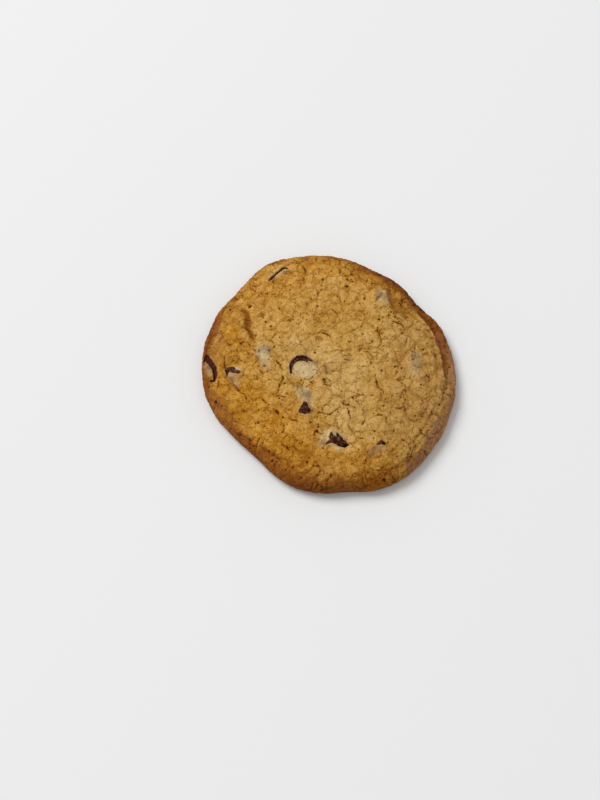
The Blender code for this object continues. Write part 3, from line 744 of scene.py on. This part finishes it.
def dough_surface(settings):
    """The finished dough: its points in millimetres about the blank's middle, its faces, and its tones.

    Lumps, swells, grain and wrinkles raise the plain dough along its own direction, and cracks, pores and
    grooves lower it. Then the mouths are let in. Each tone is a sum of what the same patterns give, of what
    the place on the dough gives, and of the listed bands.
    """
    points, faces, crust = blank(settings.columns)
    outward = directions(points, faces)
    upright = np.clip(outward[:, 2], 0.0, 1.0)
    flat_below = smooth_step(-outward[:, 2] * 1.5)

    dark, lowered, ditch = hollows(points, crust, settings)
    bent = warped(points, 5.0, 1.0, 101)
    lumpy = layered(bent, LUMPS, lumps) - MEAN_LUMP
    swell = noise(points, 11.0, 131)
    grain = noise(points, 0.75, 141)
    patches = layered(points, PATCHES)
    azimuth = np.arctan2(points[:, 1], points[:, 0])
    edge = np.hypot(points[:, 0], points[:, 1]) / outline_radius(azimuth)
    foot = (1.0 - crust) * smooth_step((RIM_HEIGHT - points[:, 2]) / 2.0)
    under = (1.0 - crust) * smooth_step((0.96 - edge) / 0.04)
    pits = under * smooth_step(layered(bent, PITS))
    along_rim = np.stack([edge * COOKIE_RADIUS / 1.5, azimuth * COOKIE_RADIUS / 8.0, np.zeros_like(edge)], -1)
    wrinkled = bell_sum(azimuth, WRINKLES) * bell(edge - 0.88, 0.09) * crust
    wrinkles = noise(warped(along_rim, 2.5, 0.4, 161), 1.0, 165) * wrinkled
    # Lumps are lower near the rim and in the calm places.
    calm = 1.0 - 0.65 * smooth_step((edge - 0.86) / 0.12) - tone(points[:, 0], points[:, 1], CALM)
    raised = (lumpy + 0.06 * grain) * np.clip(calm, 0.2, 1.0) + 0.5 * swell + wrinkles
    raised = settings.crumb_relief / MM * raised
    sunk, painted_groove_shade = grooves(warped(points, 2.6, 0.6, 181), crust)
    moved = (raised - lowered - sunk) * (1.0 - flat_below)
    points = points + outward * moved[:, None]
    points[:, 2] = np.where(crust > 0, points[:, 2], np.maximum(points[:, 2], 0.0) + PIT_DEPTH * pits)
    points[:, 2], mouths, lips = open_mouths(points, crust)

    # The side and the shoulder, the ledge, the foot and the underside each have a brown of their own.
    x, y = points[:, 0], points[:, 1]
    steep = smooth_step((edge - 0.85) / 0.15)
    on_ledge = ledge_weight(azimuth) * smooth_step((edge - 0.885) / 0.03)
    on_ledge = on_ledge * smooth_step((np.degrees(azimuth) + 8.0) / 24.0)
    rim = steep * (1.0 + bell_sum(azimuth, RIM_TONES)) * RIM_TONE
    over_crust = crust * smooth_step(upright * 3.0)
    around = 1.0 - flat_below * (1.0 - crust)
    # The low places, between lumps, in the wrinkles and along the ditches, are browner: partly the crust's
    # own colour, partly painted shade in the creases.
    browning_and_shade = 0.115 - 0.13 * lumpy - 0.05 * swell + 0.06 * patches + 0.02 * grain + 0.10 * ditch
    browning_and_shade = browning_and_shade - 0.08 * wrinkles
    # The grooves' painted shade is added to the browning here.
    browning_and_shade = browning_and_shade + np.maximum(rim, LEDGE_TONE * on_ledge) + tone(x, y, BROWNED_AND_SHADED) * around + painted_groove_shade
    browning_and_shade = browning_and_shade + FOOT_TONE * foot
    browning_and_shade = browning_and_shade + under * (UNDER_TONE - 0.09 * pits - browning_and_shade)
    golden = tone(x, y, GOLDEN) * around + 0.12 * patches + 0.4 * (1.0 - around)
    golden = golden + under * (UNDER_GOLD - golden)
    lips = lips * (1.0 - mouths)
    patchy = np.clip(0.85 + 0.7 * noise(points, 1.1, 171), 0.2, 1.2)
    blotchy = np.clip(0.88 + layered(points, BLOTCHES), 0.4, 1.2)
    tones = {
        # How brown each point is, with painted shade in creases, ditches, grooves and some bands.
        "browning_and_shade": browning_and_shade,
        # Painted shade in the cracks and pores, left off the underside.
        "hollow_shade": dark * (1.0 - under),
        "golden": golden,
        # The rosy rim, with one painted shadow beside a pore.
        "blush_and_shade": tone(x, y, BLUSHED_AND_SHADED) * around * blotchy,
        "pale": np.maximum(tone(x, y, PALE), 0.8 * lips) * over_crust * patchy,
        "stain": np.maximum(tone(x, y, STAINED), 0.4 * lips) * over_crust,
        # Dark in each mouth: chocolate smeared on its walls and floor, and painted shade beside the chip.
        "smear_and_shade": mouths,
    }
    return points, faces, {name: np.clip(values, 0.0, 1.0) for name, values in tones.items()}


# --- Meshes ---


def mesh_of(name, points, *face_sets):
    """A mesh from an array of points and one array of faces for each number of corners."""
    mesh = bpy.data.meshes.new(name)
    mesh.vertices.add(len(points))
    mesh.vertices.foreach_set("co", points.ravel())
    corners = np.concatenate([faces.ravel() for faces in face_sets])
    counts = np.concatenate([np.full(len(faces), faces.shape[1]) for faces in face_sets])
    mesh.loops.add(len(corners))
    mesh.loops.foreach_set("vertex_index", corners)
    mesh.polygons.add(len(counts))
    mesh.polygons.foreach_set("loop_start", np.cumsum(counts) - counts)
    mesh.update(calc_edges=True)
    mesh.validate()
    return mesh


def placed_in_scene(name, data):
    """A new object with this data, in the scene."""
    made = bpy.data.objects.new(name, data)
    bpy.context.scene.collection.objects.link(made)
    return made


def thinned(mesh, triangles):
    """A copy of the mesh with about so many triangles, where the flattest places lose the most."""
    helper = placed_in_scene("thinning", mesh)
    faces = sum(len(polygon.vertices) - 2 for polygon in mesh.polygons)
    helper.modifiers.new("thin", "DECIMATE").ratio = triangles / faces
    evaluated = helper.evaluated_get(bpy.context.evaluated_depsgraph_get())
    thin = bpy.data.meshes.new_from_object(evaluated)
    bpy.data.objects.remove(helper)
    bpy.data.meshes.remove(mesh)
    return thin


def add_piece(name, mesh, material, node):
    """Puts a finished mesh in the scene as a piece that stands for a node of the part."""
    mesh.materials.clear()
    mesh.materials.append(material)
    mesh.shade_smooth()
    piece = placed_in_scene(name, mesh)
    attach(piece, "root")
    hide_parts(node)
    return piece


# --- Materials ---

# Places of a colour Mix node's sockets, which share their names with those of its other kinds.
FACTOR, FIRST, SECOND, MIXED = 0, 6, 7, 2


def add_node(tree, kind, inputs=None, settings=None):
    """Adds a shader node. An input is set to its value, or linked if that is another node's output."""
    node = tree.nodes.new("ShaderNode" + kind)
    for name, value in (settings or {}).items():
        setattr(node, name, value)
    for socket, value in (inputs or {}).items():
        if isinstance(value, bpy.types.NodeSocket):
            tree.links.new(value, node.inputs[socket])
        else:
            node.inputs[socket].default_value = value
    return node


def new_material(name):
    """A material with nodes, its tree and its shader."""
    material = bpy.data.materials.new(name)
    material.use_nodes = True
    return material, material.node_tree, material.node_tree.nodes["Principled BSDF"]


def set_stops(ramp_node, stops):
    """Gives a colour ramp these stops, each a place and a colour. It has two from the start."""
    ramp = ramp_node.color_ramp
    for place, colour in stops[2:]:
        ramp.elements.new(place)
    for element, (place, colour) in zip(ramp.elements, sorted(stops, key=lambda stop: stop[0])):
        element.position = place
        element.color = colour


def per_mm(size):
    """A noise texture's scale for features so many millimetres across."""
    return 1.0 / (size * MM)


def baked_crust(settings):
    """Baked cookie dough: a dry, matt skin of flour, butter and sugar over a fine crumb.

    It gives the eye straw-coloured plates, golden brown where the sugar has caught, pores and cracks darkened
    with painted shade, and a soft sheen with no clear reflection.
    """
    material, tree, shader = new_material("baked_cookie_dough")
    place = add_node(tree, "TexCoord").outputs["Object"]
    tones = {}
    for name in ("browning_and_shade", "hollow_shade", "golden", "blush_and_shade", "pale", "stain", "smear_and_shade"):
        tones[name] = add_node(tree, "Attribute", settings={"attribute_name": name}).outputs["Fac"]
    patterns = {}  # the size of each in millimetres, its detail and its roughness
    for name, size, detail, rough in (
        ("mottle", 3.2, 3.0, 0.55),
        ("breaks", 1.7, 2.0, 0.6),
        ("crumb", 1.0, 5.0, 0.62),
        ("sugar grain", 0.5, 3.0, 0.6),
    ):
        inputs = {"Vector": place, "Scale": per_mm(size), "Detail": detail, "Roughness": rough}
        patterns[name] = add_node(tree, "TexNoise", inputs).outputs["Fac"]

    # How brown each spot is: the piece's own tone, which holds some painted shade, and the painted shade of
    # its cracks and pores, moved a little by the patterns.
    browned = tones["browning_and_shade"]
    for part, reach in (
        (tones["hollow_shade"], 0.5),
        (patterns["sugar grain"], 0.38),
        (patterns["crumb"], 0.34),
        (patterns["mottle"], 0.26),
    ):
        inputs = {0: part, 1: reach, 2: browned}
        browned = add_node(tree, "Math", inputs, {"operation": "MULTIPLY_ADD"}).outputs[0]
    browned = add_node(tree, "Math", {0: browned, 1: 0.48}, {"operation": "SUBTRACT"}).outputs[0]
    ramps = []
    for high, most, low in (
        (settings.palest, settings.straw, settings.toasted),
        (settings.pale_gold, settings.gold, settings.caramel),
    ):
        ramps.append(add_node(tree, "ValToRGB", {"Fac": browned}))
        stops = ((0.0, high), (1.0, settings.darkest), (0.24, most), (0.48, low), (0.74, settings.rim_brown))
        set_stops(ramps[-1], stops)

    # Pinholes up to a third of a millimetre across lie at some of the seeds of a cell pattern, and hairline
    # cracks a tenth of a millimetre wide are pieces of the edges of a coarser one. Both are painted shade,
    # dark where the crust has tiny holes and cracks. Both are drawn on places moved by noise of a size, a
    # detail and a reach. Each opens between two distances from its seed or edge, up to a greatest depth. The
    # seeds' own numbers choose among the pinholes, and a noise breaks up the hairlines, both between two more
    # limits.
    openings = []
    for size, detail, reach, feature, spacing, outer, inner, most, left_out, kept in (
        (0.8, 2.0, 0.5, "F1", 1.05, 0.30, 0.12, 0.95, 0.42, 0.92),
        (1.5, 3.0, 2.4, "DISTANCE_TO_EDGE", 2.4, 0.09, 0.0, 0.7, 0.49, 0.60),
    ):
        inputs = {"Vector": place, "Scale": per_mm(size), "Detail": detail}
        wander = add_node(tree, "TexNoise", inputs).outputs["Color"]
        inputs = {0: wander, 1: (reach * MM,) * 3, 2: place}
        bent = add_node(tree, "VectorMath", inputs, {"operation": "MULTIPLY_ADD"}).outputs[0]
        inputs = {"Vector": bent, "Scale": per_mm(spacing)}
        cells = add_node(tree, "TexVoronoi", inputs, {"feature": feature})
        inputs = {"Value": cells.outputs["Distance"], "From Min": outer, "From Max": inner, "To Max": most}
        depth = add_node(tree, "MapRange", inputs, {"interpolation_type": "SMOOTHSTEP"}).outputs[0]
        number = patterns["breaks"]
        if feature == "F1":
            number = add_node(tree, "SeparateColor", {"Color": cells.outputs["Color"]}).outputs[0]
        inputs = {"Value": number, "From Min": left_out, "From Max": kept}
        chosen = add_node(tree, "MapRange", inputs).outputs[0]
        openings.append(add_node(tree, "Math", {0: depth, 1: chosen}, {"operation": "MULTIPLY"}).outputs[0])
    # The painted shade of the cracks and pores, then that of the pinholes and hairlines.
    hollow_shade = add_node(tree, "Math", {0: tones["hollow_shade"], 1: 1.8}, {"operation": "POWER"}).outputs[0]
    for opening in openings:
        hollow_shade = add_node(tree, "Math", {0: opening, 1: hollow_shade}, {"operation": "MAXIMUM"}).outputs[0]

    colour = ramps[0].outputs["Color"]
    for share, blending, laid_on in (
        (tones["golden"], "MIX", ramps[1].outputs["Color"]),
        # the rosy rim, and a painted shadow beside one pore
        (tones["blush_and_shade"], "MIX", settings.blush_and_shade),
        (tones["pale"], "MIX", settings.bloomed),
        (tones["stain"], "MIX", settings.stain),
        # painted shade of cracks, pores, pinholes and hairlines, multiplied into the colour
        (hollow_shade, "MULTIPLY", settings.hollow_shade),
        # chocolate smear and painted shade in the mouths
        (tones["smear_and_shade"], "MIX", settings.smear_and_shade),
    ):
        inputs = {FACTOR: share, FIRST: colour, SECOND: laid_on}
        kind = {"data_type": "RGBA", "blend_type": blending}
        colour = add_node(tree, "Mix", inputs, kind).outputs[MIXED]
    tree.links.new(colour, shader.inputs["Base Color"])

    inputs = {"Value": patterns["crumb"], "From Min": 0.3, "From Max": 0.7, "To Min": 0.58, "To Max": 0.85}
    roughness = add_node(tree, "MapRange", inputs).outputs["Result"]
    inputs = {0: tones["smear_and_shade"], 2: roughness, 3: 0.46}
    roughness = add_node(tree, "Mix", inputs, {"data_type": "FLOAT"}).outputs[0]
    tree.links.new(roughness, shader.inputs["Roughness"])
    shader.inputs["IOR"].default_value = 1.45
    shader.inputs["Specular IOR Level"].default_value = 0.08

    inputs = {"Height": patterns["crumb"], "Strength": 0.5, "Distance": 0.35 * MM}
    bumps = add_node(tree, "Bump", inputs).outputs["Normal"]
    inputs = {"Height": patterns["sugar grain"], "Strength": 0.4, "Distance": 0.16 * MM, "Normal": bumps}
    bumps = add_node(tree, "Bump", inputs).outputs["Normal"]
    tree.links.new(bumps, shader.inputs["Normal"])
    return material


def dark_chocolate(settings):
    """Semi-sweet chocolate that has melted in the oven and set again.

    It gives the eye a very dark brown with a waxy sheen, dulled in lighter patches that are partly a thin
    grey film of fat and partly painted highlights.
    """
    material, tree, shader = new_material("semisweet_chocolate")
    place = add_node(tree, "TexCoord").outputs["Object"]
    inputs = {"Vector": place, "Scale": per_mm(1.2), "Detail": 4.0, "Roughness": 0.6}
    patches = add_node(tree, "TexNoise", inputs).outputs["Fac"]
    ramp = add_node(tree, "ValToRGB", {"Fac": patches})
    # Lighter patches: partly the fat's grey film, partly painted highlights.
    set_stops(ramp, ((0.48, settings.chocolate), (0.74, settings.bloom_and_sheen)))
    tree.links.new(ramp.outputs["Color"], shader.inputs["Base Color"])
    inputs = {"Value": patches, "From Min": 0.3, "From Max": 0.7, "To Min": 0.4, "To Max": 0.58}
    roughness = add_node(tree, "MapRange", inputs)
    tree.links.new(roughness.outputs["Result"], shader.inputs["Roughness"])
    shader.inputs["IOR"].default_value = 1.49
    shader.inputs["Specular IOR Level"].default_value = 0.05
    inputs = {"Vector": place, "Scale": per_mm(0.7), "Detail": 2.0}
    ripples = add_node(tree, "TexNoise", inputs).outputs["Fac"]
    bumps = add_node(tree, "Bump", {"Height": ripples, "Strength": 0.35, "Distance": 0.2 * MM})
    tree.links.new(bumps.outputs["Normal"], shader.inputs["Normal"])
    return material


def plain_floor(settings):
    """Matt white paint: even and pale, with no clear reflection."""
    material, _, shader = new_material("matt_white_paint")
    shader.inputs["Base Color"].default_value = settings.floor
    shader.inputs["Roughness"].default_value = 0.9
    shader.inputs["Specular IOR Level"].default_value = 0.1
    return material


# --- Settings ---


def colour_of(name, description, hex_colour):
    """A colour property with this sRGB default."""
    values = {"min": 0.0, "max": 1.0, "default": linear(hex_colour)}
    return FloatVectorProperty(name=name, description=description, subtype="COLOR", size=4, **values)


def length_of(name, description, millimetres):
    """A length property with this default."""
    return FloatProperty(name=name, description=description, unit="LENGTH", default=millimetres * MM)


class DoughSettings(bpy.types.PropertyGroup):
    """Sizes and colours of the baked dough."""

    columns: IntProperty(name="Grid columns", description="Faces across the crust", default=420, min=60)
    triangles: IntProperty(name="Triangles", description="Triangles of the finished dough", default=192000)
    plate_size: length_of("Plate size", "Spacing of the crust's plates", 4.8)
    pore_spacing: length_of("Pore spacing", "Spacing of the larger pores", 1.8)
    crack_depth: length_of("Crack depth", "Depth of cracks and pores", 0.55)
    crumb_relief: length_of("Crumb relief", "Height of the crumb's bumps", 0.75)
    palest: colour_of("Palest", "The highest, least baked plates", "#DCB272")
    straw: colour_of("Straw", "Most of the crust", "#C29547")
    toasted: colour_of("Toasted", "Between the plates", "#9A6722")
    rim_brown: colour_of("Rim brown", "The side and the shoulder", "#7C400C")
    darkest: colour_of("Darkest", "The most baked edge", "#4A240A")
    pale_gold: colour_of("Pale gold", "High spots where the butter has browned", "#DA9F3F")
    gold: colour_of("Gold", "Most of the browned part", "#B37616")
    caramel: colour_of("Caramel", "Low spots of the browned part", "#8B4D0A")
    # Also the colour of a painted shadow beside one pore.
    blush_and_shade: colour_of("Blush", "The rosy brown of the right-hand rim", "#986A4E")
    bloomed: colour_of("Pale cover", "Thin dough over a chip", "#D4C096")
    stain: colour_of("Stain", "Chocolate that shows through the dough", "#66503F")
    # Painted shade: the colour that the bottoms of pores and cracks are multiplied by.
    hollow_shade: colour_of("Hollow", "What the bottom of a pore is multiplied by", "#8E7038")
    # Chocolate smear and painted shade on a mouth's walls and floor.
    smear_and_shade: colour_of("Smear", "Chocolate on the walls of a mouth", "#451A0A")


class ChocolateSettings(bpy.types.PropertyGroup):
    """Sizes and colours of the chips."""

    softening: length_of("Softening", "Height of the melted surface's waves", 0.18)
    chocolate: colour_of("Chocolate", "The clean surface", "#3A1607")
    # Partly the fat's grey film, partly painted highlights.
    bloom_and_sheen: colour_of("Bloom", "The grey film of fat", "#7A5A48")


class StageSettings(bpy.types.PropertyGroup):
    """The camera, the floor and the lights."""

    distance: length_of("Distance", "Camera to cookie", 420)
    elevation: FloatProperty(
        name="Elevation", description="Angle above the floor", default=math.radians(66), unit="ROTATION"
    )
    lens: FloatProperty(name="Lens", description="Focal length, in millimetres", default=48.2)
    key_power: FloatProperty(name="Key power", description="Power of the main light, in watts", default=85.0)
    sky_strength: FloatProperty(name="Sky strength", description="Even light from all sides", default=0.5)
    floor: colour_of("Floor", "The floor's paint", "#F0F0F0")


# --- Operators ---


class COOKIE_OT_dough(bpy.types.Operator):
    """Builds the baked dough and its crust"""

    bl_idname = "cookie.dough"
    bl_label = "Baked dough"

    def execute(self, context):
        settings = context.scene.cookie_dough
        points, faces, tones = dough_surface(settings)
        if not np.isfinite(points).all():
            raise ValueError("the dough has points that aren't numbers")
        mesh = mesh_of("baked_dough", points - outline_middle(), faces)
        for name, values in tones.items():
            mesh.attributes.new(name, "FLOAT", "POINT").data.foreach_set("value", values)
        mesh = thinned(mesh, settings.triangles)
        mesh.transform(((MM, 0, 0, 0), (0, MM, 0, 0), (0, 0, MM, 0), (0, 0, 0, 1)))
        add_piece("baked_dough", mesh, baked_crust(settings), "dough")
        return {"FINISHED"}


DROP_GRID = (44, 72)  # points along a drop's profile, and round it
CORE_SHARE = 0.4  # how far up from the base a drop's core lies


def melted_drop(place, softening, seed):
    """A chip's surface: its profile turned about its axis, with its points moved from its core by noise.

    The two parameters are the share of the way from the base's middle to the tip along the profile, and the
    turn about the axis. The first and last rows are single points.
    """
    middle, to_tip, tall, radius = place
    up_share, out_share = np.array(((0.0, 0.0),) + DROP_PROFILE).T
    rows, columns = DROP_GRID
    out, up = along_profile(np.linspace(0.0, 1.0, rows), out_share * radius, up_share * tall)
    turn = np.linspace(0.0, 2 * math.pi, columns, endpoint=False)
    sideways = np.cross(to_tip, (1.0, 0.0, 0.0) if abs(to_tip[0]) < 0.9 else (0.0, 1.0, 0.0))
    sideways /= np.linalg.norm(sideways)
    onward = np.cross(to_tip, sideways)
    spokes = np.cos(turn)[:, None] * sideways + np.sin(turn)[:, None] * onward
    points = middle + up[:, None, None] * to_tip + out[:, None, None] * spokes
    points = np.concatenate([points[:1, 0], points[1:-1].reshape(-1, 3), points[-1:, 0]])
    from_core = points - (middle + to_tip * tall * CORE_SHARE)
    outward = from_core / np.linalg.norm(from_core, axis=1, keepdims=True)
    waves = layered(points, ((0.7, 2.6, seed), (0.3, 1.1, seed + 1)))
    points = points + outward * (waves * softening)[:, None]
    ring = 1 + np.arange((rows - 2) * columns).reshape(rows - 2, columns)
    ring = np.concatenate([ring, ring[:, :1]], axis=1)
    base = np.stack([np.zeros(columns, int), ring[0, 1:], ring[0, :-1]], -1)
    tip = np.stack([np.full(columns, len(points) - 1), ring[-1, :-1], ring[-1, 1:]], -1)
    sides = np.stack([ring[:-1, :-1], ring[:-1, 1:], ring[1:, 1:], ring[1:, :-1]], -1).reshape(-1, 4)
    return points, sides, np.concatenate([base, tip])


class COOKIE_OT_chips(bpy.types.Operator):
    """Builds the chocolate chips that show"""

    bl_idname = "cookie.chips"
    bl_label = "Chocolate chips"

    def execute(self, context):
        settings = context.scene.cookie_chocolate
        material = dark_chocolate(settings)
        for seed, node in enumerate(MOUTHS, start=201):
            points, sides, ends = melted_drop(chip_place(node), settings.softening / MM, seed)
            mesh = mesh_of(node + "_chocolate", (points - outline_middle()) * MM, sides, ends)
            add_piece(node + "_chocolate", mesh, material, node)
        return {"FINISHED"}


FLOOR_REACH, FLOOR_POINTS = 3.0, 9  # metres from its middle to its sides, and points along each
KEY_SIZE, KEY_PLACE = 2.1, (-1.86, 1.35, 2.85)  # metres across, and from the cookie's middle
AIM = (-11.3, -13.4, 3.0)  # where the camera looks, in millimetres


class COOKIE_OT_stage(bpy.types.Operator):
    """Builds the floor, the lights and the camera"""

    bl_idname = "cookie.stage"
    bl_label = "Stage"

    def execute(self, context):
        settings = context.scene.cookie_stage
        scene = context.scene
        scene.view_settings.view_transform = "Standard"
        low, high = CAD_BOX
        middle = (low + high) / 2

        line = np.linspace(-FLOOR_REACH, FLOOR_REACH, FLOOR_POINTS)
        across, along = np.meshgrid(line, line, indexing="ij")
        points = np.stack([across, along, np.full_like(across, low[2])], -1).reshape(-1, 3)
        faces = grid_faces(np.arange(FLOOR_POINTS**2).reshape(FLOOR_POINTS, FLOOR_POINTS))
        floor = placed_in_scene("floor", mesh_of("floor", points, faces))
        floor.data.materials.append(plain_floor(settings))

        key = bpy.data.lights.new("key", "AREA")
        key.shape = "DISK"
        key.size = KEY_SIZE
        key.energy = settings.key_power
        key_light = placed_in_scene("key", key)
        key_light.location = middle + Vector(KEY_PLACE)
        key_light.rotation_euler = (middle - key_light.location).to_track_quat("-Z", "Y").to_euler()

        world = bpy.data.worlds.new("soft_studio")
        world.use_nodes = True
        background = world.node_tree.nodes["Background"]
        background.inputs["Color"].default_value = linear("#FFFFFF")
        background.inputs["Strength"].default_value = settings.sky_strength
        scene.world = world

        camera = bpy.data.cameras.new("camera")
        camera.lens = settings.lens
        camera.clip_start, camera.clip_end = 0.01, 20.0
        back = Vector((0.0, -math.cos(settings.elevation), math.sin(settings.elevation)))
        viewer = placed_in_scene("camera", camera)
        viewer.location = Vector(AIM) * MM + back * settings.distance
        viewer.rotation_euler = (math.pi / 2 - settings.elevation, 0.0, 0.0)
        scene.camera = viewer
        return {"FINISHED"}


class COOKIE_PT_panel(bpy.types.Panel):
    """The cookie's operators and settings"""

    bl_idname = "COOKIE_PT_panel"
    bl_label = "Chocolate Chip Cookie"
    bl_space_type = "VIEW_3D"
    bl_region_type = "UI"
    bl_category = "Cookie"

    def draw(self, context):
        for operator, group in (
            (COOKIE_OT_dough, "cookie_dough"),
            (COOKIE_OT_chips, "cookie_chocolate"),
            (COOKIE_OT_stage, "cookie_stage"),
        ):
            box = self.layout.box()
            box.operator(operator.bl_idname)
            settings = getattr(context.scene, group)
            for name in settings.__annotations__:
                box.prop(settings, name)


GROUPS = {"cookie_dough": DoughSettings, "cookie_chocolate": ChocolateSettings, "cookie_stage": StageSettings}
CLASSES = (*GROUPS.values(), COOKIE_OT_dough, COOKIE_OT_chips, COOKIE_OT_stage, COOKIE_PT_panel)


def register():
    for made in CLASSES:
        bpy.utils.register_class(made)
    for name, group in GROUPS.items():
        setattr(bpy.types.Scene, name, PointerProperty(type=group))


def unregister():
    for name in GROUPS:
        delattr(bpy.types.Scene, name)
    for made in reversed(CLASSES):
        bpy.utils.unregister_class(made)


def main():
    register()
    bpy.ops.cookie.dough()
    bpy.ops.cookie.chips()
    bpy.ops.cookie.stage()


if __name__ == "__main__":
    main()
